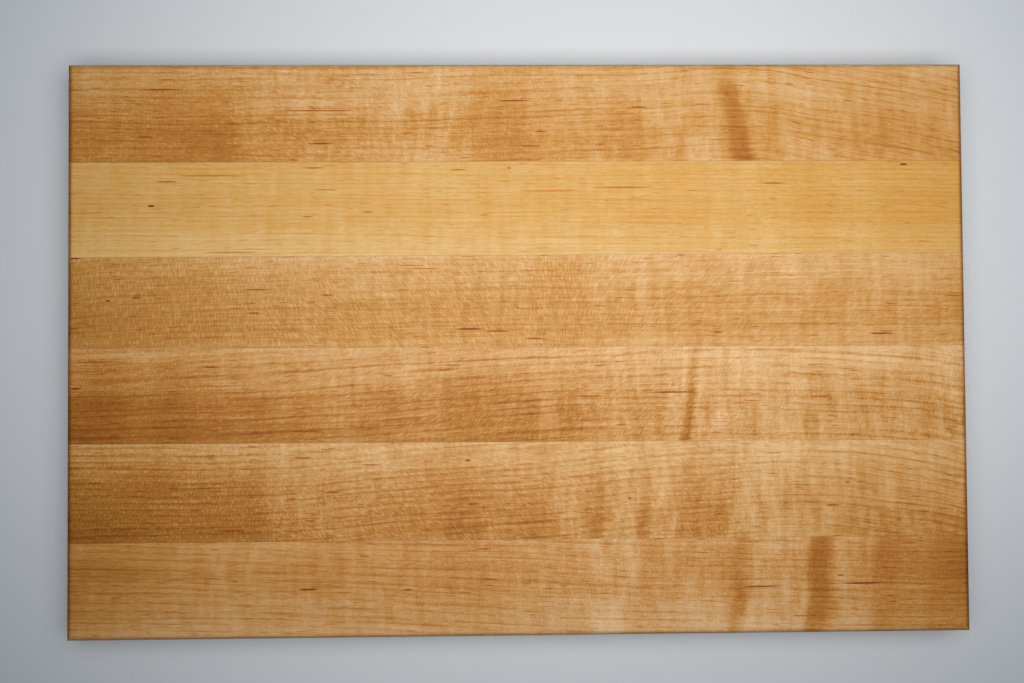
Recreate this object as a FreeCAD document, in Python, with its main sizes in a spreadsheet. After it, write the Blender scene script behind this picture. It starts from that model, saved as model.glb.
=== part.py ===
import FreeCAD, Part
import math
import os
import Sketcher

# Edge-grain maple cutting board: six staves turned on edge and glued side by side, then planed,
# cut to length and rounded over along every top and bottom arris. Millimetres, +X along the grain,
# +Y towards stave 1, +Z up, with the origin at the centre of the underside.

SIZES = {
    "board_length": 419.1,      # 16 1/2 in, along the grain
    "board_width": 266.7,       # 10 1/2 in, six staves of nominal 1 3/4 in
    "board_thickness": 31.75,   # 1 1/4 in
    "arris_radius": 3.0,        # round-over on the top and bottom arrises
    "glue_thickness": 0.1,      # cured glue film in a joint
    # How far each joint is from the board's +Y side, at the -X end (left) and the +X end (right).
    # The staves taper a little, so the joints are not quite parallel.
    "joint_1_left": 46.0,
    "joint_1_right": 46.0,
    "joint_2_left": 90.2,
    "joint_2_right": 89.6,
    "joint_3_left": 132.2,
    "joint_3_right": 133.2,
    "joint_4_left": 176.4,
    "joint_4_right": 177.3,
    "joint_5_left": 222.0,
    "joint_5_right": 222.0,
}
STAVE_COUNT = 6
SNAP = 0.001                    # two positions closer than this are the same place

os.makedirs("parts", exist_ok=True)
doc = FreeCAD.newDocument("cutting_board")

sheet = doc.addObject("Spreadsheet::Sheet", "Sizes")
for row, (alias, size) in enumerate(SIZES.items(), start=1):
    sheet.set(f"A{row}", alias.replace("_", " "))
    sheet.set(f"B{row}", str(size))
    sheet.setAlias(f"B{row}", alias)
doc.recompute()


def add_body(label, plane_role):
    """A body and its first sketch, which lies on one of the body's own origin planes."""
    body = doc.addObject("PartDesign::Body", label)
    body.Label = label
    sketch = body.newObject("Sketcher::SketchObject", label + "_outline")
    plane = [part for part in body.Origin.OriginFeatures if part.Role == plane_role][0]
    sketch.AttachmentSupport = [(plane, "")]
    sketch.MapMode = "FlatFace"
    return body, sketch


def place_point(sketch, line, name, start, across, along):
    """Fix where a sketch line starts, with two named distances bound to the sheet."""
    for kind, distance, expression in (("X", start.x, across), ("Y", start.y, along)):
        constraint = Sketcher.Constraint("Distance" + kind, -1, 1, line, 1, distance)
        constraint_name = f"{name}_{kind.lower()}"
        sketch.renameConstraint(sketch.addConstraint(constraint), constraint_name)
        sketch.setExpression("Constraints." + constraint_name, expression)


def stave_side(joint, end, glue_face):
    """Expression for how far a stave's long side is from the board's +Y side, at one end.

    Joint 0 is the board's own +Y side and the last joint its -Y side, which have no glue. At the
    others the stave stops at half the glue film: glue_face is "-" above the film, "+" below it.
    """
    if joint == 0:
        return "0"
    if joint == STAVE_COUNT:
        return "Sizes.board_width"
    return f"(Sizes.joint_{joint}_{end} {glue_face} Sizes.glue_thickness / 2)"


def is_arris(edge, body):
    """True for a top or bottom edge that lies along one of the board's four outer sides."""
    middle = body.Placement.multVec(edge.CenterOfMass)
    is_level = abs(edge.Vertexes[0].Z - edge.Vertexes[1].Z) < SNAP
    on_end = abs(abs(middle.x) - sheet.board_length / 2) < SNAP
    on_side = abs(abs(middle.y) - sheet.board_width / 2) < SNAP
    return is_level and (on_end or on_side)


def add_stave(number):
    """A stave: its tapered plan, padded to the board's thickness, with its outer arrises rounded.

    The body's origin is midway between the stave's two long sides at the left end.
    """
    label = f"stave_{number}"
    body, sketch = add_body(label, "XY_Plane")
    upper = {end: stave_side(number - 1, end, "+") for end in ("left", "right")}
    lower = {end: stave_side(number, end, "-") for end in ("left", "right")}
    centre_line = f"({upper['left']} + {lower['left']}) / 2"
    body.setExpression("Placement.Base.y", f"Sizes.board_width / 2 - {centre_line}")

    half_length = sheet.board_length / 2
    half_width = sheet.board_width / STAVE_COUNT / 2
    corners = [
        ("upper_left", -half_length, half_width, upper["left"]),
        ("upper_right", half_length, half_width, upper["right"]),
        ("lower_right", half_length, -half_width, lower["right"]),
        ("lower_left", -half_length, -half_width, lower["left"]),
    ]
    points = [FreeCAD.Vector(x, y, 0) for name, x, y, side in corners]
    for line, point in enumerate(points):
        sketch.addGeometry(Part.LineSegment(point, points[(line + 1) % len(points)]))
    for line, (name, x, y, side) in enumerate(corners):
        following = (line + 1) % len(points)
        sketch.addConstraint(Sketcher.Constraint("Coincident", line, 2, following, 1))
        board_end = "-Sizes.board_length / 2" if x < 0 else "Sizes.board_length / 2"
        place_point(sketch, line, name, points[line], board_end, f"{centre_line} - {side}")

    blank = body.newObject("PartDesign::Pad", label + "_blank")
    blank.Profile = sketch
    blank.setExpression("Length", "Sizes.board_thickness")
    doc.recompute()

    arrises = [
        f"Edge{index}"
        for index, edge in enumerate(blank.Shape.Edges, start=1)
        if is_arris(edge, body)
    ]
    rounded = body.newObject("PartDesign::Fillet", label + "_arrises")
    rounded.Base = (blank, arrises)
    rounded.setExpression("Radius", "Sizes.arris_radius")
    return body


def add_glue_line(joint):
    """A joint's glue film: the board's rounded side outline, as thick as the film.

    The body's origin is on the joint at the board's middle, and its X axis runs along the joint.
    """
    label = f"glue_line_{joint}"
    body, sketch = add_body(label, "XZ_Plane")
    left = f"Sizes.joint_{joint}_left"
    right = f"Sizes.joint_{joint}_right"
    body.setExpression("Placement.Base.y", f"Sizes.board_width / 2 - ({left} + {right}) / 2")
    body.Placement.Rotation = FreeCAD.Rotation(FreeCAD.Vector(0, 0, 1), 0)
    body.setExpression("Placement.Rotation.Angle", f"atan(({left} - {right}) / Sizes.board_length)")

    half_length = sheet.board_length / 2
    height = sheet.board_thickness
    radius = sheet.arris_radius
    straight = half_length - radius
    # The outline anticlockwise from the underside: each straight run, then the centre of the
    # quarter circle that follows it and the angle at which that quarter circle starts.
    corners = [
        ((-straight, 0), (straight, 0), (straight, radius), -90),
        ((half_length, radius), (half_length, height - radius), (straight, height - radius), 0),
        ((straight, height), (-straight, height), (-straight, height - radius), 90),
        ((-half_length, height - radius), (-half_length, radius), (-straight, radius), 180),
    ]
    for start, finish, centre, angle in corners:
        sketch.addGeometry(Part.LineSegment(FreeCAD.Vector(*start, 0), FreeCAD.Vector(*finish, 0)))
        circle = Part.Circle(FreeCAD.Vector(*centre, 0), FreeCAD.Vector(0, 0, 1), radius)
        quarter = Part.ArcOfCircle(circle, math.radians(angle), math.radians(angle + 90))
        sketch.addGeometry(quarter)
    underside, first_arc, right_end, second_arc, top, third_arc, left_end, last_arc = range(8)
    origin = -1
    x_axis = -1
    for element in range(8):
        sketch.addConstraint(Sketcher.Constraint("Tangent", element, 2, (element + 1) % 8, 1))
    for level_run in (underside, top):
        sketch.addConstraint(Sketcher.Constraint("Horizontal", level_run))
    for upright_run in (right_end, left_end):
        sketch.addConstraint(Sketcher.Constraint("Vertical", upright_run))
    for arc in (second_arc, third_arc, last_arc):
        sketch.addConstraint(Sketcher.Constraint("Equal", first_arc, arc))
    sketch.addConstraint(Sketcher.Constraint("PointOnObject", underside, 1, x_axis))
    half_length_size = "Sizes.board_length / 2"
    for name, constraint, size in (
        ("arris", ("Radius", first_arc, radius), "Sizes.arris_radius"),
        ("to_right", ("DistanceX", origin, 1, right_end, 1, half_length), half_length_size),
        ("to_left", ("DistanceX", left_end, 1, origin, 1, half_length), half_length_size),
        ("to_top", ("DistanceY", origin, 1, top, 1, height), "Sizes.board_thickness"),
    ):
        sketch.renameConstraint(sketch.addConstraint(Sketcher.Constraint(*constraint)), name)
        sketch.setExpression("Constraints." + name, size)

    film = body.newObject("PartDesign::Pad", label + "_film")
    film.Profile = sketch
    film.SideType = "Symmetric"
    film.setExpression("Length", "Sizes.glue_thickness")
    return body


# Six hard maple staves, from the +Y side of the board to the -Y side, and the film of cured wood
# glue in each joint between them.
staves = [add_stave(number) for number in range(1, STAVE_COUNT + 1)]
glue_lines = [add_glue_line(joint) for joint in range(1, STAVE_COUNT)]
pieces = staves + glue_lines

doc.recompute()
for item in doc.Objects:
    if "Invalid" in item.State or "Error" in item.State:
        raise RuntimeError(f"{item.Label} failed: {item.State}")
    if item.isDerivedFrom("Sketcher::SketchObject") and not item.FullyConstrained:
        raise RuntimeError(f"{item.Label} is not fully constrained")
for piece in pieces:
    if piece.Shape.isNull() or not piece.Shape.isValid():
        raise RuntimeError(f"{piece.Label} has no valid shape")

# The pieces fill the rounded board, so their volumes add up to its volume.
board = Part.makeBox(sheet.board_length, sheet.board_width, sheet.board_thickness)
level_edges = [edge for edge in board.Edges if abs(edge.Vertexes[0].Z - edge.Vertexes[1].Z) < SNAP]
board = board.makeFillet(sheet.arris_radius, level_edges)
pieces_volume = sum(piece.Shape.Volume for piece in pieces)
print(f"pieces {pieces_volume:.1f} mm3, whole board {board.Volume:.1f} mm3")

for piece in pieces:
    box = piece.Shape.BoundBox
    print(
        f"{piece.Label}: {box.XLength:.2f} x {box.YLength:.2f} x {box.ZLength:.2f} mm,"
        f" y {box.YMin:.2f} to {box.YMax:.2f}, {piece.Shape.Volume:.1f} mm3"
    )
    piece.Shape.exportStep(os.path.join("parts", piece.Label + ".step"))
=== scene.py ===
import math

import bpy
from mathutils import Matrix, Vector


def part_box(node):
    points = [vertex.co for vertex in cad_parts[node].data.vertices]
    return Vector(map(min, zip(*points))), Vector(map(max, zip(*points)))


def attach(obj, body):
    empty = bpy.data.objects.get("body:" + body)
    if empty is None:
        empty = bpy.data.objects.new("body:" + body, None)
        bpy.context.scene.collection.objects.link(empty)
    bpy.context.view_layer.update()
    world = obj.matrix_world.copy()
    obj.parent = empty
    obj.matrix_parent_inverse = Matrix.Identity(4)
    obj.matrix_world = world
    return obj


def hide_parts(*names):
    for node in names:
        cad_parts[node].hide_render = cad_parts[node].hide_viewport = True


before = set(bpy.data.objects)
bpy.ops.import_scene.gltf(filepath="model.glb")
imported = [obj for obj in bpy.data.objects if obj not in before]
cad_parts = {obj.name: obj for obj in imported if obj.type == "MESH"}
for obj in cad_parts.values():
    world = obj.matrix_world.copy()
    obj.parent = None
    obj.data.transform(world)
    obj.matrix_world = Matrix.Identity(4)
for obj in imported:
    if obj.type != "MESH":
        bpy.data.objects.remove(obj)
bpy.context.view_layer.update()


# ---- Studio --------------------------------------------------------------------------------------
# The board lies on a plain pale laminate worktop, looked at from almost straight above. One softbox
# hangs over it, a little to the right and turned towards the back, and pale walls all round fill
# the shadows.

def linear(hex_colour):
    """An sRGB hex colour as linear RGBA."""
    channels = [int(hex_colour[place:place + 2], 16) / 255 for place in (0, 2, 4)]
    return [c / 12.92 if c <= 0.04045 else ((c + 0.055) / 1.055) ** 2.4 for c in channels] + [1]


scene = bpy.context.scene
scene.view_settings.view_transform = "Standard"

camera = bpy.data.objects.new("camera", bpy.data.cameras.new("camera"))
camera.data.lens = 50
camera.data.sensor_width = 36
camera.location = (-0.0218, -0.0180, 0.6932)
camera.rotation_euler = [math.radians(angle) for angle in (1.840, -1.544, -0.409)]
scene.collection.objects.link(camera)
scene.camera = camera

softbox = bpy.data.objects.new("softbox", bpy.data.lights.new("softbox", "AREA"))
softbox.data.shape = "RECTANGLE"
softbox.data.size = 0.50
softbox.data.size_y = 0.34
softbox.data.energy = 1.22
softbox.data.spread = math.radians(84)
softbox.location = (0.05, 0.01, 0.60)
aim = Vector((0.042, 0.09, 0)) - softbox.location
softbox.rotation_euler = aim.to_track_quat("-Z", "Y").to_euler()
scene.collection.objects.link(softbox)

world = bpy.data.worlds.new("pale_walls")
world.use_nodes = True
walls = world.node_tree.nodes["Background"]
walls.inputs["Color"].default_value = linear("C0D6F2")
walls.inputs["Strength"].default_value = 0.21
scene.world = world

# Matt laminate: even and slightly cool, with no pattern that shows. It reaches past the view, and
# its face is a hair below the board's underside, so that the two don't lie in one plane.
laminate = bpy.data.materials.new("matt_pale_laminate")
laminate.use_nodes = True
shader = laminate.node_tree.nodes["Principled BSDF"]
shader.inputs["Base Color"].default_value = linear("CCCECE")
shader.inputs["Roughness"].default_value = 0.7

MM = 0.001
WORKTOP_REACH = 3.0
WORKTOP_GAP = 0.05 * MM
corners = [
    (x * WORKTOP_REACH, y * WORKTOP_REACH, 0) for x, y in ((-1, -1), (1, -1), (1, 1), (-1, 1))]
floor_mesh = bpy.data.meshes.new("worktop")
floor_mesh.from_pydata(corners, [], [(0, 1, 2, 3)])
floor_mesh.materials.append(laminate)
floor = bpy.data.objects.new("worktop", floor_mesh)
floor.location.z = -WORKTOP_GAP
scene.collection.objects.link(floor)


# ---- Staves --------------------------------------------------------------------------------------
# Six staves of hard maple turned on edge and glued face to face, then planed flat, cut to length,
# rounded over on every outer arris and wiped with mineral oil. The end grain drinks more of the oil
# and turns brown.

def add(tree, kind, *inputs, sockets=None, points=(), stops=(), **settings):
    """Adds a node with its settings and links, and returns its first output that is in use.

    inputs fill its sockets in order, and sockets fills them by name or number, each with a value or
    with another node's output. points are a float curve's, and stops a colour ramp's.
    """
    node = tree.nodes.new(kind)
    for name, setting in settings.items():
        setattr(node, name, setting)
    for socket, value in [*enumerate(inputs), *(sockets or {}).items()]:
        if isinstance(value, bpy.types.NodeSocket):
            tree.links.new(value, node.inputs[socket])
        else:
            node.inputs[socket].default_value = value
    if points:
        curve = node.mapping.curves[0]
        for number, point in enumerate(points):
            if number < len(curve.points):
                curve.points[number].location = point
            else:
                curve.points.new(*point)
        node.mapping.update()
    for number, (position, colour) in enumerate(stops):
        ramp = node.color_ramp.elements
        stop = ramp[number] if number < len(ramp) else ramp.new(position)
        stop.position = position
        stop.color = linear(colour)
    return next((output for output in node.outputs if output.enabled), None)


board_low, board_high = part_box("stave_6")[0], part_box("stave_1")[1]
LENGTH = board_high.x - board_low.x
THICKNESS = board_high.z - board_low.z
ARRIS = 3.0 * MM

stave_tree = bpy.data.node_groups.new("stave", "GeometryNodeTree")
for name, kind in (
    ("Length", "NodeSocketFloat"), ("Thickness", "NodeSocketFloat"), ("Arris", "NodeSocketFloat"),
    ("Upper Left", "NodeSocketFloat"), ("Upper Right", "NodeSocketFloat"),
    ("Lower Left", "NodeSocketFloat"), ("Lower Right", "NodeSocketFloat"),
    ("Upper Is Outside", "NodeSocketFloat"), ("Lower Is Outside", "NodeSocketFloat"),
    ("Finish", "NodeSocketMaterial"),
):
    stave_tree.interface.new_socket(name, in_out="INPUT", socket_type=kind)
stave_tree.interface.new_socket("Geometry", in_out="OUTPUT", socket_type="NodeSocketGeometry")
size = add(stave_tree, "NodeGroupInput").node.outputs

# It starts as a block of unit size. Its rows become heights: a quarter circle up from the
# underside, the straight side, and a quarter circle over to the top.
CELLS_ALONG = 220
CELLS_ACROSS = 30
ARC_ROWS = 8
WALL_ROWS = 14
rows = 2 * ARC_ROWS + WALL_ROWS
arc_share = ARC_ROWS / rows
block = add(
    stave_tree, "GeometryNodeMeshCube", (1, 1, 1), CELLS_ALONG + 1, CELLS_ACROSS + 1, rows + 1)
place = add(stave_tree, "GeometryNodeInputPosition")
block_x, block_y, block_z = add(stave_tree, "ShaderNodeSeparateXYZ", place).node.outputs
row = add(stave_tree, "ShaderNodeMath", block_z, 0.5, operation="ADD")
row_from_top = add(stave_tree, "ShaderNodeMath", 1.0, row, operation="SUBTRACT")
sines = []
cosines = []
for row_from_face in (row, row_from_top):
    turn = add(
        stave_tree, "ShaderNodeMath", row_from_face, arc_share, operation="DIVIDE", use_clamp=True)
    turn = add(stave_tree, "ShaderNodeMath", turn, math.pi / 2, operation="MULTIPLY")
    sines.append(add(stave_tree, "ShaderNodeMath", turn, operation="SINE"))
    cosines.append(add(stave_tree, "ShaderNodeMath", turn, operation="COSINE"))
both_arcs = add(stave_tree, "ShaderNodeMath", size["Arris"], 2.0, operation="MULTIPLY")
wall = add(stave_tree, "ShaderNodeMath", size["Thickness"], both_arcs, operation="SUBTRACT")
wall_row = add(stave_tree, "ShaderNodeMath", row, arc_share, operation="SUBTRACT")
wall_share = add(
    stave_tree, "ShaderNodeMath", wall_row, 1 - 2 * arc_share, operation="DIVIDE", use_clamp=True)
up_wall = add(stave_tree, "ShaderNodeMath", wall, wall_share, operation="MULTIPLY")
arc_rise = add(stave_tree, "ShaderNodeMath", cosines[1], cosines[0], operation="SUBTRACT")
arc_rise = add(stave_tree, "ShaderNodeMath", arc_rise, 1.0, operation="ADD")
height = add(
    stave_tree, "ShaderNodeMath", size["Arris"], arc_rise, up_wall, operation="MULTIPLY_ADD")

# inset is how far the arris pulls a row in from the board's outer sides.
both_sines = add(stave_tree, "ShaderNodeMath", *sines, operation="ADD")
pull = add(stave_tree, "ShaderNodeMath", 2.0, both_sines, operation="SUBTRACT")
inset = add(stave_tree, "ShaderNodeMath", size["Arris"], pull, operation="MULTIPLY")
half = add(stave_tree, "ShaderNodeMath", size["Length"], 2.0, operation="DIVIDE")
half = add(stave_tree, "ShaderNodeMath", half, inset, operation="SUBTRACT")
whole = add(stave_tree, "ShaderNodeMath", half, 2.0, operation="MULTIPLY")
along = add(stave_tree, "ShaderNodeMath", block_x, whole, operation="MULTIPLY")
share_along = add(stave_tree, "ShaderNodeMath", along, size["Length"], operation="DIVIDE")
share_along = add(stave_tree, "ShaderNodeMath", share_along, 0.5, operation="ADD")

# The long sides run straight from the left end to the right one, and only an outside one has an
# arris. The cells across are finer towards the sides, where the arris bends.
upper = add(stave_tree, "ShaderNodeMix",
            sockets={0: share_along, 2: size["Upper Left"], 3: size["Upper Right"]})
upper_inset = add(
    stave_tree, "ShaderNodeMath", inset, size["Upper Is Outside"], operation="MULTIPLY")
upper = add(stave_tree, "ShaderNodeMath", upper, upper_inset, operation="SUBTRACT")
lower = add(stave_tree, "ShaderNodeMix",
            sockets={0: share_along, 2: size["Lower Left"], 3: size["Lower Right"]})
lower = add(
    stave_tree, "ShaderNodeMath", inset, size["Lower Is Outside"], lower, operation="MULTIPLY_ADD")
share_across = add(stave_tree, "ShaderNodeMath", block_y, math.pi, operation="MULTIPLY")
share_across = add(stave_tree, "ShaderNodeMath", share_across, operation="SINE")
share_across = add(stave_tree, "ShaderNodeMath", share_across, 0.5, 0.5, operation="MULTIPLY_ADD")
across = add(stave_tree, "ShaderNodeMix", sockets={0: share_across, 2: lower, 3: upper})

shaped_place = add(stave_tree, "ShaderNodeCombineXYZ", along, across, height)
shaped = add(
    stave_tree, "GeometryNodeSetPosition", sockets={"Geometry": block, "Position": shaped_place})
smooth = add(
    stave_tree, "GeometryNodeSetShadeSmooth", sockets={"Geometry": shaped, "Shade Smooth": True})
real = add(stave_tree, "GeometryNodeRealizeInstances", smooth)
finished = add(
    stave_tree, "GeometryNodeSetMaterial", sockets={"Geometry": real, "Material": size["Finish"]})
add(stave_tree, "NodeGroupOutput", finished)
stave_sockets = {
    item.name: item.identifier
    for item in stave_tree.interface.items_tree
    if item.in_out == "INPUT"
}

# A pin streak or a small knot: a flat ellipse along the grain, soft at its edge. Where two lie over
# each other, the deeper one shows.
streak_group = bpy.data.node_groups.new("pin_streak", "ShaderNodeTree")
for name, kind in (
    ("Place", "NodeSocketVector"), ("Centre", "NodeSocketVector"), ("Reach", "NodeSocketVector"),
    ("Depth", "NodeSocketFloat"), ("Before", "NodeSocketFloat"),
):
    streak_group.interface.new_socket(name, in_out="INPUT", socket_type=kind)
streak_group.interface.new_socket("After", in_out="OUTPUT", socket_type="NodeSocketFloat")
given = add(streak_group, "NodeGroupInput").node.outputs
offset = add(
    streak_group, "ShaderNodeVectorMath", given["Place"], given["Centre"], operation="SUBTRACT")
scaled = add(streak_group, "ShaderNodeVectorMath", offset, given["Reach"], operation="DIVIDE")
distance = add(streak_group, "ShaderNodeVectorMath", scaled, operation="LENGTH")
distance = distance.node.outputs["Value"]
mark = add(
    streak_group, "ShaderNodeMapRange", distance, 1.0, 0.5, interpolation_type="SMOOTHSTEP")
deep = add(streak_group, "ShaderNodeMath", mark, given["Depth"], operation="MULTIPLY")
both = add(streak_group, "ShaderNodeMath", deep, given["Before"], operation="MAXIMUM")
add(streak_group, "NodeGroupOutput", both)


# How far noise moves the figure from where it is drawn: the grain and the curl bands in
# millimetres, and the rings in rings.
GRAIN_DRIFT = 3.5
BAND_SWAY = 9.0
BAND_FRAY = 3.0
RING_CROWDING = 2.0
# Tones are counted in steps, each the usual spread of the wood from its middle tone. STEP is one of
# them on the colour ramp, and the drawn curves reach MOST_STEPS either way.
STEP = 0.16
MOST_STEPS = 4.0


def maple(look, left, upper_side):
    """Oiled hard maple for one stave, as a solid pattern in millimetres.

    The wood is a warm honey tan with fine darker lines, and the light catches it in flecks and
    bands where the fibres turn. left and upper_side are where the stave's left end and +Y side are,
    so that the look's places are along it from its left end and across it from its +Y side.
    """
    material = bpy.data.materials.new(look["name"])
    material.use_nodes = True
    tree = material.node_tree
    shader = tree.nodes["Principled BSDF"]
    board_place = add(tree, "ShaderNodeTexCoord").node.outputs
    here = add(tree, "ShaderNodeMapping", board_place["Object"],
               (-left / MM, upper_side / MM, 0), (0, 0, 0), (1 / MM, -1 / MM, 1 / MM))
    along, across, height = add(tree, "ShaderNodeSeparateXYZ", here).node.outputs

    # What changes slowly along the stave is drawn as curves over its length.
    share = add(tree, "ShaderNodeMath", along, LENGTH / MM, operation="DIVIDE")
    drawn = {}
    for feature, low, high in (
        ("bend", -15, 12), ("lean", -1, 1), ("flecks", 0, 1), ("fleck_lean", -2, 2),
    ):
        points = [
            (spot * MM / LENGTH, (value - low) / (high - low)) for spot, value in look[feature]]
        curve = add(tree, "ShaderNodeFloatCurve", 1.0, share, points=points)
        drawn[feature] = add(
            tree, "ShaderNodeMath", curve, high - low, low, operation="MULTIPLY_ADD")

    # The grain and the bands wander off their drawn lines, in waves some 70 mm long and 24 mm wide.
    seed = look["seed"]
    wander = add(tree, "ShaderNodeMapping", here,
                 (31 * seed, 17 * seed, 0), (0, 0, 0), (1 / 70, 1 / 24, 1 / 24))
    wander = add(tree, "ShaderNodeTexNoise", sockets={"Vector": wander, "Scale": 1, "Detail": 1})
    wander = add(tree, "ShaderNodeSeparateColor", wander.node.outputs["Color"])
    drift, sway, patches = wander.node.outputs

    # Growth rings are cylinders round the pith, and the grain's bends carry them with it.
    pith_across, pith_height = look["pith"]
    from_pith = add(tree, "ShaderNodeMath", across, pith_across, operation="SUBTRACT")
    from_pith = add(tree, "ShaderNodeMath", from_pith, drawn["bend"], operation="ADD")
    from_pith = add(tree, "ShaderNodeMath", drift, GRAIN_DRIFT, from_pith, operation="MULTIPLY_ADD")
    above_pith = add(tree, "ShaderNodeMath", height, pith_height, operation="SUBTRACT")
    round_pith = add(tree, "ShaderNodeCombineXYZ", 0, from_pith, above_pith)
    round_pith = add(tree, "ShaderNodeVectorMath", round_pith, operation="LENGTH")
    ring_distance = round_pith.node.outputs["Value"]
    grain_place = add(tree, "ShaderNodeCombineXYZ", along, ring_distance, height)

    # Ray flecks lean one way or the other across the grain as the fibres swing.
    off_middle = add(tree, "ShaderNodeMath", across, look["width"] / 2, operation="SUBTRACT")
    fleck_along = add(
        tree, "ShaderNodeMath", off_middle, drawn["fleck_lean"], along, operation="MULTIPLY_ADD")
    fleck_place = add(tree, "ShaderNodeCombineXYZ", fleck_along, across, height)

    # Noise patterns, each with how many millimetres long, wide and deep its grains are. Real fibres
    # and rays are a tenth of a millimetre wide or less, too fine to show, so the fine patterns are
    # drawn as coarse as they need to be.
    noises = {}
    for number, (pattern, vector, grain, detail) in enumerate((
        ("crowding", grain_place, (400, 9, 400), 1),
        ("fade", grain_place, (26, 2.5, 30), 1),
        ("broad", grain_place, (220, 7, 200), 2),
        ("lines", grain_place, (35, 0.8, 20), 1),
        ("fibre", grain_place, (4, 0.5, 0.8), 1),
        ("threads", grain_place, (9, 0.65, 1.5), 1),
        ("flecks", fleck_place, (0.5, look["fleck_length"], 1.6), 0),
        ("curl", here, (4.5, 20, 20), 3),
    )):
        shift = seed * 13 + number * 5
        scaled = add(tree, "ShaderNodeMapping", vector,
                     (shift, shift, shift), (0, 0, 0), [1 / length for length in grain])
        noises[pattern] = add(
            tree, "ShaderNodeTexNoise", sockets={"Vector": scaled, "Scale": 1, "Detail": detail})

    # Each ring is pale early wood that ends in a thin dark line of late wood. Some lines are
    # stronger than others, and they fade in and out along the grain.
    ring_phase = add(tree, "ShaderNodeMath", ring_distance, look["ring"], operation="DIVIDE")
    ring_phase = add(tree, "ShaderNodeMath", noises["crowding"], RING_CROWDING, ring_phase,
                     operation="MULTIPLY_ADD")
    ring_number = add(tree, "ShaderNodeMath", ring_phase, operation="FLOOR")
    ring_strength = add(
        tree, "ShaderNodeTexWhiteNoise", sockets={"W": ring_number}, noise_dimensions="1D")
    ring_strength = add(tree, "ShaderNodeMapRange", ring_strength, 0.0, 1.0, 0.45, 1.0)
    ring_fade = add(tree, "ShaderNodeMapRange", noises["fade"], 0.35, 0.65, 0.25, 1.1)
    through_ring = add(tree, "ShaderNodeMath", ring_phase, operation="FRACT")
    points = [(0.0, 0.4), (0.12, 0.1), (0.4, 0.0), (0.68, 0.2), (0.88, 1.0), (1.0, 0.4)]
    late_wood = add(tree, "ShaderNodeFloatCurve", 1.0, through_ring, points=points)
    ring_strength = add(tree, "ShaderNodeMath", ring_strength, ring_fade, operation="MULTIPLY")
    rings = add(tree, "ShaderNodeMath", late_wood, ring_strength, operation="MULTIPLY")

    # Curl: where the fibres swing, bands across the grain look light and dark. They lean with the
    # swing, their edges fray along the lines, and they are stronger in some places than in others.
    band_place = add(tree, "ShaderNodeMath", across, drawn["lean"], operation="MULTIPLY")
    band_place = add(tree, "ShaderNodeMath", along, band_place, operation="SUBTRACT")
    band_place = add(tree, "ShaderNodeMath", sway, BAND_SWAY, band_place, operation="MULTIPLY_ADD")
    band_place = add(
        tree, "ShaderNodeMath", noises["lines"], BAND_FRAY, band_place, operation="MULTIPLY_ADD")
    usual_shift = (BAND_SWAY + BAND_FRAY) / 2  # because the noises are a half on average
    band_share = add(tree, "ShaderNodeMath", band_place, usual_shift, operation="SUBTRACT")
    band_share = add(tree, "ShaderNodeMath", band_share, LENGTH / MM, operation="DIVIDE")
    points = [
        (spot * MM / LENGTH, (value / MOST_STEPS + 1) / 2) for spot, value in look["bands"]]
    bands = add(tree, "ShaderNodeFloatCurve", 1.0, band_share, points=points)
    bands = add(
        tree, "ShaderNodeMath", bands, 2 * MOST_STEPS, -MOST_STEPS, operation="MULTIPLY_ADD")
    patchy = add(tree, "ShaderNodeMath", patches, noises["curl"], operation="ADD")
    patchy = add(tree, "ShaderNodeMapRange", patchy, 0.75, 1.25, 0.5, 1.35)
    bands = add(tree, "ShaderNodeMath", bands, patchy, operation="MULTIPLY")
    side_to_side = add(tree, "ShaderNodeMath", across, look["width"], operation="DIVIDE")
    points = [(spot / look["width"], value / 2) for spot, value in look["band_strength"]]
    strength = add(tree, "ShaderNodeFloatCurve", 1.0, side_to_side, points=points)
    strength = add(tree, "ShaderNodeMath", strength, 2.0, operation="MULTIPLY")
    bands = add(tree, "ShaderNodeMath", bands, strength, operation="MULTIPLY")

    # A stave is paler along one side than along the other.
    points = [
        (spot / look["width"], (value / MOST_STEPS + 1) / 2) for spot, value in look["across"]]
    side_tone = add(tree, "ShaderNodeFloatCurve", 1.0, side_to_side, points=points)
    side_tone = add(
        tree, "ShaderNodeMath", side_tone, 2 * MOST_STEPS, -MOST_STEPS, operation="MULTIPLY_ADD")

    # The tone adds up all of these, each taken from its usual value and given its weight in steps.
    strong_flecks = add(tree, "ShaderNodeMapRange", noises["flecks"], 0.45, 0.75)
    strong_flecks = add(tree, "ShaderNodeMath", strong_flecks, 0.25, operation="SUBTRACT")
    flecks = add(tree, "ShaderNodeMath", strong_flecks, drawn["flecks"], operation="MULTIPLY")
    steps = add(tree, "ShaderNodeMath", bands, side_tone, operation="ADD")
    for layer, usual, weight in (
        (rings, 0.16, -look["rings"]),
        (noises["broad"], 0.5, look["broad"]),
        (noises["lines"], 0.5, 2.1),
        (noises["fibre"], 0.5, 2.6),
        (noises["curl"], 0.5, look["curl"]),
        (flecks, 0.0, 1.7),
    ):
        centred = add(tree, "ShaderNodeMath", layer, usual, operation="SUBTRACT")
        steps = add(tree, "ShaderNodeMath", centred, weight, steps, operation="MULTIPLY_ADD")
    tone = add(tree, "ShaderNodeMath", steps, STEP, 0.5, operation="MULTIPLY_ADD")
    deep, dark, middle, pale = look["colours"]
    wood = add(tree, "ShaderNodeValToRGB", tone,
               stops=[(0.0, deep), (0.5 - STEP, dark), (0.5, middle), (1.0, pale)])

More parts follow.
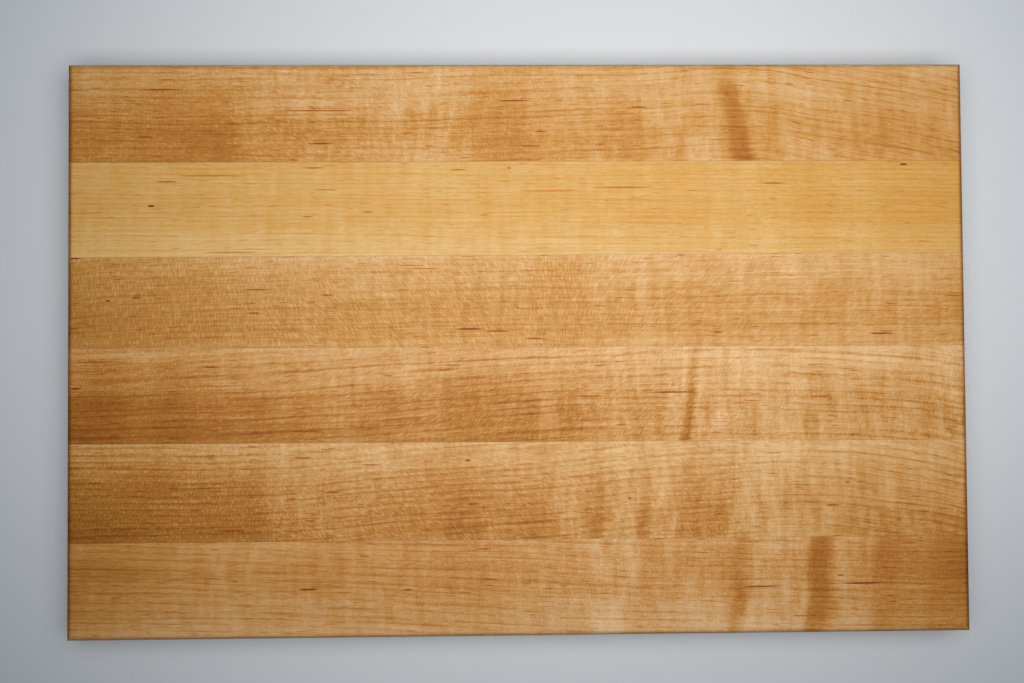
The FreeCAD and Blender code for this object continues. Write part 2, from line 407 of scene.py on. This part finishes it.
    # Pin streaks: thin brown threads along the grain, scattered, and then the few that stand out.
    # They stain the wood the browner the deeper they are.
    streaks = add(tree, "ShaderNodeMapRange", noises["threads"], 0.65, 0.76, 0.0, look["threads"])
    face_place = add(tree, "ShaderNodeCombineXYZ", along, across, 0)
    for centre_along, centre_across, reach_along, reach_across, depth in look["streaks"]:
        streaks = add(tree, "ShaderNodeGroup", node_tree=streak_group, sockets={
            "Place": face_place, "Centre": (centre_along, centre_across, 0),
            "Reach": (reach_along, reach_across, 1), "Depth": depth, "Before": streaks})
    stain = add(tree, "ShaderNodeValToRGB", streaks,
                stops=[(0.0, "FFFFFF"), (0.35, "F3CEA0"), (0.8, "C09258"), (1.0, "A06C1C")])
    wood = add(tree, "ShaderNodeMix", data_type="RGBA", blend_type="MULTIPLY",
               sockets={0: 1.0, 6: wood, 7: stain})

    # End grain: brown with oil, with the rings darker still.
    facing = add(tree, "ShaderNodeSeparateXYZ", board_place["Normal"])
    facing_along, facing_across, _ = facing.node.outputs
    end_facing = add(tree, "ShaderNodeMath", facing_along, operation="ABSOLUTE")
    end_share = add(
        tree, "ShaderNodeMapRange", end_facing, 0.05, 0.75, interpolation_type="SMOOTHSTEP")
    end_wood = add(tree, "ShaderNodeValToRGB", tone,
                   stops=[(0.0, "5A3206"), (0.5, "92581A"), (1.0, "B27A36")])
    wood = add(
        tree, "ShaderNodeMix", data_type="RGBA", sockets={0: end_share, 6: wood, 7: end_wood})

    # Painted shade: the long side nearest the cook, facing -Y, is painted darker, as if the light
    # came from the +Y side.
    front_shade_share = add(tree, "ShaderNodeMapRange", facing_across, -0.35, -0.95, 0.0, 0.55)
    wood = add(tree, "ShaderNodeMix", data_type="RGBA",
               sockets={0: front_shade_share, 6: wood, 7: linear("6A3E14")})
    tree.links.new(wood, shader.inputs["Base Color"])

    # The oil has soaked in and been rubbed off, so there is little sheen, and it is uneven from
    # fibre to fibre. The planed fibres stand up by a few hundredths of a millimetre.
    shader.inputs["IOR"].default_value = 1.47
    shader.inputs["Specular IOR Level"].default_value = 0.12
    gloss = add(tree, "ShaderNodeMath", noises["fibre"], 0.16, 0.44, operation="MULTIPLY_ADD")
    tree.links.new(gloss, shader.inputs["Roughness"])
    relief = add(tree, "ShaderNodeMath", noises["lines"], noises["fibre"], operation="ADD")
    bump = add(
        tree, "ShaderNodeBump", sockets={"Strength": 0.35, "Distance": 0.03 * MM, "Height": relief})
    tree.links.new(bump, shader.inputs["Normal"])
    return material


# What each stave's wood looks like. Places are in millimetres from the stave's left end, and from
# its +Y side in band_strength and across.
#   pith          where the tree's centre was, across the stave and above its underside
#   ring          how far apart the growth rings are, on average
#   colours       sRGB, from the darkest wood to the palest
#   bend          how far the grain lines swing towards the +Y side
#   lean          how far a band moves along the stave for each millimetre across it
#   bands         light (+) and dark (-) bands across the grain, in steps
#   band_strength what they are multiplied by, from side to side
#   across        the tone from side to side, in steps
#   flecks        how strongly the ray flecks show, and fleck_lean how they lean
#   rings, broad, curl, threads, fleck_length
#                 how strong the ring lines, the broad stripes, the fine curl and the scattered
#                 threads are, and how long a fleck is across the grain
#   streaks       each one's centre, half its length, half its width and its depth of colour
looks = {
    1: dict(
        name="curl_flecked_hard_maple", seed=1.0, width=46.0, pith=(-84.0, -20.0), ring=2.9,
        colours=("985414", "B1762F", "BF8947", "D7B486"),
        bend=[(0, 0), (120, 0), (200, 1), (270, 3), (307, 5), (350, 0), (419, -11)],
        lean=[(0, 0.1), (200, 0.15), (311, 0.2), (419, 0.1)],
        bands=[(0, -0.8), (25, -0.7), (45, -1.0), (70, -1.0), (82, 0.0), (95, -0.1), (104, 0.2),
               (124, 0.1), (135, 0.3), (150, 0.7), (167, 0.6), (180, 0.2), (193, -0.4), (208, -0.3),
               (222, 0.1), (245, 0.2), (254, 0.0), (265, 0.5), (288, 0.8), (296, 0.3), (302, -1.2),
               (306, -2.0), (310, -1.4), (314, 0.1), (330, 0.4), (342, 0.4), (360, 0.1),
               (419, 0.4)],
        band_strength=[(0, 0.4), (6, 0.5), (14, 1.1), (30, 1.1), (46, 1.2)],
        across=[(0, 0.8), (12, 0.4), (20, 0.1), (28, -0.3), (36, -0.6), (46, -0.3)],
        flecks=[(0, 0.5), (60, 0.7), (110, 0.9), (200, 0.6), (300, 0.4), (419, 0.2)],
        fleck_lean=[(0, 0.5), (60, -0.6), (110, -0.9), (200, -0.4), (260, 0.3), (419, 0.6)],
        rings=1.5, broad=1.4, curl=2.6, threads=0.6, fleck_length=2,
        streaks=[(44, 12, 13, 0.44, 0.72), (46, 7.4, 5, 0.38, 0.6), (115, 22, 24, 0.44, 0.72),
                 (207, 17.4, 9, 0.44, 0.84), (266, 20.6, 5, 0.44, 0.84), (117, 37.4, 7, 0.5, 0.84),
                 (215, 38.8, 6, 0.5, 0.72), (36, 34.2, 5, 0.5, 0.72), (220, 32, 4, 0.44, 0.72)]),
    2: dict(
        name="plain_pale_hard_maple", seed=2.0, width=44.0, pith=(-90.0, 60.0), ring=2.1,
        colours=("AE742A", "C28C3E", "C7964F", "DAB882"),
        bend=[(0, 0.6), (150, 0), (419, -1.2)],
        lean=[(0, 0), (419, 0)],
        bands=[(0, 0.0), (60, 0.2), (120, 0.3), (200, 0.4), (260, 0.2), (285, -0.1), (298, 0.1),
               (327, 0.2), (345, -0.4), (365, 0.0), (385, -0.5), (419, -0.5)],
        band_strength=[(0, 1), (44, 1)],
        across=[(0, 0.0), (12, -0.1), (20, -0.3), (28, -0.1), (36, 0.4), (44, 0.7)],
        flecks=[(0, 0.2), (250, 0.2), (330, 0.4), (419, 0.3)],
        fleck_lean=[(0, 0.2), (250, 0.2), (419, 0.3)],
        rings=1.3, broad=1, curl=1.5, threads=0.4, fleck_length=1.5,
        streaks=[(38.8, 20.3, 2.2, 0.7, 1.0), (46, 9, 6.5, 0.44, 0.72), (65, 6.3, 19, 0.38, 0.6),
                 (114, 2.7, 6, 0.44, 0.6), (120, 13, 7, 0.38, 0.54), (111, 25.5, 3, 0.62, 0.48),
                 (139, 23.5, 3, 0.6, 0.48), (181, 3.8, 5, 0.5, 0.54), (205, 3, 1.2, 0.7, 0.48),
                 (224, 13.8, 17, 0.45, 0.45), (258, 12.4, 17, 0.44, 0.6),
                 (329, 10.5, 7, 0.44, 0.72), (390.7, 1.8, 2.4, 0.62, 1.0),
                 (76, 42, 16, 0.38, 0.6)]),
    3: dict(
        name="quartersawn_hard_maple", seed=3.0, width=42.5, pith=(-70.0, 20.0), ring=2.9,
        colours=("985A18", "B17832", "BD8845", "D8B07E"),
        bend=[(0, -4), (60, -1), (120, 0), (419, 1)],
        lean=[(0, 0), (419, 0)],
        bands=[(0, -1.5), (15, -1.2), (60, -0.8), (80, -0.2), (130, 0.1), (180, 0.2), (196, 0.0),
               (215, 0.2), (228, 0.0), (234, -0.2), (242, 0.2), (268, 0.5), (286, 0.3), (300, 0.3),
               (345, 0.5), (360, 0.2), (372, 0.4), (419, 0.1)],
        band_strength=[(0, 1), (42, 1)],
        across=[(0, 1.1), (8, 0.6), (16, 0.1), (24, -0.3), (34, -0.3), (42, 0.1)],
        flecks=[(0, 0.9), (120, 1.0), (220, 1.0), (300, 0.9), (380, 0.6), (419, 0.5)],
        fleck_lean=[(0, 0.0), (70, 0.05), (130, -0.6), (180, -0.6), (290, 0.8), (340, 0.8),
                    (419, 0.4)],
        rings=1.2, broad=1.1, curl=2.4, threads=0.65, fleck_length=3.2,
        streaks=[(19, 20.6, 1.1, 0.62, 1.0), (32, 19.3, 3, 0.6, 0.72), (88, 15.8, 7, 0.5, 0.72),
                 (86, 26.7, 4, 0.62, 0.6), (120, 18.5, 3.5, 0.5, 0.72), (165, 6.3, 10, 0.38, 0.54),
                 (186, 34.6, 8, 0.62, 0.9), (199, 35.7, 7, 0.5, 0.72), (216, 39.2, 5, 0.56, 0.72),
                 (379, 37.8, 7, 0.62, 0.85), (302, 36.8, 2.5, 0.6, 0.72), (413, 20.3, 5, 0.38, 0.6),
                 (3.8, 0.85, 3.3, 0.5, 1.0)]),
    4: dict(
        name="striped_honey_hard_maple", seed=4.0, width=44.4, pith=(120.0, -10.0), ring=3.2,
        colours=("884806", "A96C25", "BA8340", "DAB07E"),
        bend=[(0, -7), (100, -4), (200, 2), (290, 4.5), (350, 4), (419, -3)],
        lean=[(0, 0), (240, -0.05), (290, -0.16), (419, 0)],
        bands=[(0, -1.2), (22, -1.6), (34, -1.0), (45, -1.3), (60, -0.8), (100, -0.3), (133, 0.1),
               (142, -0.2), (158, 0.2), (175, -0.2), (188, -0.4), (212, -0.3), (225, 0.3),
               (235, 0.1), (262, 0.9), (275, 0.8), (288.5, 1.2), (292.5, -0.8), (296, 1.3),
               (325, 1.1), (350, 1.1), (380, 0.9), (395, 0.8), (419, 1.1)],
        band_strength=[(0, 0.8), (14, 0.9), (24, 1.1), (36, 1.2), (44, 1.2)],
        across=[(0, 1.2), (10, 0.7), (20, 0.0), (30, -0.6), (44, -0.7)],
        flecks=[(0, 0.5), (80, 0.7), (200, 0.8), (300, 0.9), (360, 0.6), (419, 0.8)],
        fleck_lean=[(0, 0.3), (60, 0.5), (100, 0.8), (200, 0.7), (300, 0.7), (360, 0.3), (390, 0.0),
                    (419, 0.0)],
        rings=1.8, broad=1.5, curl=2.4, threads=0.65, fleck_length=2.2,
        streaks=[(280, 22, 13, 0.44, 1.0), (12, 6.3, 13, 0.38, 0.72), (66, 9, 4.5, 0.5, 0.72),
                 (178, 8.8, 5, 0.5, 0.6), (247, 9.3, 4, 0.5, 0.6), (242, 23.6, 8, 0.5, 0.6),
                 (110, 39, 9, 0.62, 0.5), (350, 24.5, 6, 0.5, 0.6), (4, 18.5, 4, 0.62, 0.84)]),
    5: dict(
        name="russet_banded_hard_maple", seed=5.0, width=45.4, pith=(115.0, 40.0), ring=3.1,
        colours=("864A0A", "AC6E26", "BB8340", "D8B07C"),
        bend=[(0, -6), (100, -5), (160, 0), (210, 2), (290, 8), (340, 9.5), (380, 6), (419, -1)],
        lean=[(0, 0), (419, 0)],
        bands=[(0, -1.6), (20, -1.4), (41, -1.4), (55, -1.0), (75, -0.8), (84, -0.8), (100, 0.0),
               (150, 0.1), (166, -0.1), (182, -0.7), (195, -0.2), (220, -0.1), (232, 0.4),
               (242, 0.4), (247, -0.3), (251, 0.8), (258, 0.9), (263.5, 0.7), (267.5, 0.0),
               (271, 0.6), (279, 1.0), (286, 0.0), (298, 0.2), (306.5, 0.2), (309.5, 1.3),
               (330, 1.1), (350, 0.7), (385, 0.5), (419, 0.2)],
        band_strength=[(0, 0.6), (14, 0.8), (22, 1.15), (36, 1.3), (45, 1.3)],
        across=[(0, 1.3), (10, 0.8), (20, 0.0), (30, -0.3), (38, -0.7), (45, -0.6)],
        flecks=[(0, 0.8), (100, 0.9), (150, 1.0), (300, 0.9), (350, 0.5), (419, 0.5)],
        fleck_lean=[(0, 0.1), (70, 0.0), (130, -0.7), (280, -0.8), (370, 0.6), (419, 0.8)],
        rings=1.8, broad=1.5, curl=2.9, threads=0.65, fleck_length=2,
        streaks=[(108, 7, 6, 0.44, 0.72), (140, 10.5, 6, 0.44, 0.72), (185, 8.8, 1.5, 0.62, 0.96),
                 (187, 29, 3, 0.62, 0.7), (122, 23, 5, 0.5, 0.72), (76, 40.5, 8, 0.8, 0.5),
                 (355, 31, 4, 0.56, 0.72), (362, 20.4, 1.5, 0.6, 0.72), (260, 27, 0.8, 0.62, 1.0),
                 (386, 38, 1.6, 1.2, 0.42)]),
    6: dict(
        name="curly_hard_maple", seed=6.0, width=44.8, pith=(-75.0, 45.0), ring=3.1,
        colours=("965412", "B37630", "C08848", "DAB282"),
        bend=[(0, 4), (100, 1.5), (211, -4.5), (300, -8), (419, -11)],
        lean=[(0, 0), (240, 0), (310, -0.08), (419, -0.08)],
        bands=[(0, -0.9), (20, -0.7), (50, -0.1), (90, 0.3), (112, 0.2), (121, -0.1), (135, 0.2),
               (165, 0.1), (178, -0.1), (195, 0.1), (224, 0.4), (232, 0.3), (245, 1.4), (258, 1.5),
               (263, 1.0), (268.5, 0.1), (273, 0.5), (280, 0.6), (300, 0.6), (308, 0.4),
               (313, -1.0), (318, 1.0), (340, 0.7), (343.5, 0.3), (349, -2.0), (354, -1.6),
               (361, 0.6), (373, 0.3), (380, -1.4), (390, -1.0), (396, -0.7), (404, -1.5),
               (419, -1.7)],
        band_strength=[(0, 1.1), (20, 1.0), (34, 0.9), (44, 0.8)],
        across=[(0, -0.1), (14, -0.5), (24, -0.3), (34, 0.2), (44, 1.0)],
        flecks=[(0, 0.2), (120, 0.4), (260, 0.7), (340, 0.7), (419, 0.4)],
        fleck_lean=[(0, 0.3), (200, 0.4), (260, -0.2), (330, -0.6), (419, -0.3)],
        rings=1.6, broad=1.2, curl=2.6, threads=0.65, fleck_length=1.8,
        streaks=[(111, 22, 5.5, 0.56, 1.0), (157, 22.6, 2.5, 0.6, 0.72), (137, 7, 3, 0.5, 0.6),
                 (192, 4.2, 4, 0.56, 0.6), (321, 22.8, 10, 0.44, 1.0), (368, 21.8, 12, 0.5, 1.0),
                 (358, 18, 2, 0.6, 0.72), (50, 17, 7, 0.44, 0.42), (339, 36.6, 4, 0.44, 0.48)]),
}

# A vertex this close to the board's end, or closer, lies on it.
ON_END = 0.01 * MM
end_face = LENGTH / 2 - ON_END
for number, look in looks.items():
    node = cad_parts[f"stave_{number}"]
    low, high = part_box(node.name)
    at_end = {}
    for side in (-1, 1):
        depths = [vertex.co.y for vertex in node.data.vertices if side * vertex.co.x > end_face]
        at_end[side] = min(depths), max(depths)
    material = maple(look, low.x, high.y)
    piece = f"maple_stave_{number}"
    stave = bpy.data.objects.new(piece, bpy.data.meshes.new(piece))
    scene.collection.objects.link(stave)
    shape = stave.modifiers.new("shape", "NODES")
    shape.node_group = stave_tree
    for name, value in {
        "Length": LENGTH, "Thickness": THICKNESS, "Arris": ARRIS,
        "Upper Left": at_end[-1][1], "Upper Right": at_end[1][1],
        "Lower Left": at_end[-1][0], "Lower Right": at_end[1][0],
        "Upper Is Outside": float(number == 1), "Lower Is Outside": float(number == len(looks)),
        "Finish": material,
    }.items():
        shape[stave_sockets[name]] = value
    evaluated = stave.evaluated_get(bpy.context.evaluated_depsgraph_get())
    stave.data = bpy.data.meshes.new_from_object(evaluated)
    stave.modifiers.clear()
    stave.data.name = stave.name
    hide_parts(node.name)
    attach(stave, "root")


# ---- Glue lines ----------------------------------------------------------------------------------
# A film of yellow wood glue in each joint, a tenth of a millimetre thick, cured and planed off
# flush with the staves. It has darkened with the oil, so that it shows as a thin brown line.

glue = bpy.data.materials.new("cured_yellow_wood_glue")
glue.use_nodes = True
shader = glue.node_tree.nodes["Principled BSDF"]
film_place = add(glue.node_tree, "ShaderNodeTexCoord").node.outputs["Object"]
film_place = add(glue.node_tree, "ShaderNodeMapping", film_place, (0, 0, 0), (0, 0, 0),
                 (1 / (12 * MM), 1 / MM, 1 / (3 * MM)))
patches = add(
    glue.node_tree, "ShaderNodeTexNoise", sockets={"Vector": film_place, "Scale": 1, "Detail": 3})
tint = add(glue.node_tree, "ShaderNodeValToRGB", patches, stops=[(0.3, "7A4A1E"), (0.7, "A9743C")])
glue.node_tree.links.new(tint, shader.inputs["Base Color"])
shader.inputs["Roughness"].default_value = 0.4
shader.inputs["IOR"].default_value = 1.48
for name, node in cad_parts.items():
    if name.startswith("glue_line"):
        node.data.materials.clear()
        node.data.materials.append(glue)
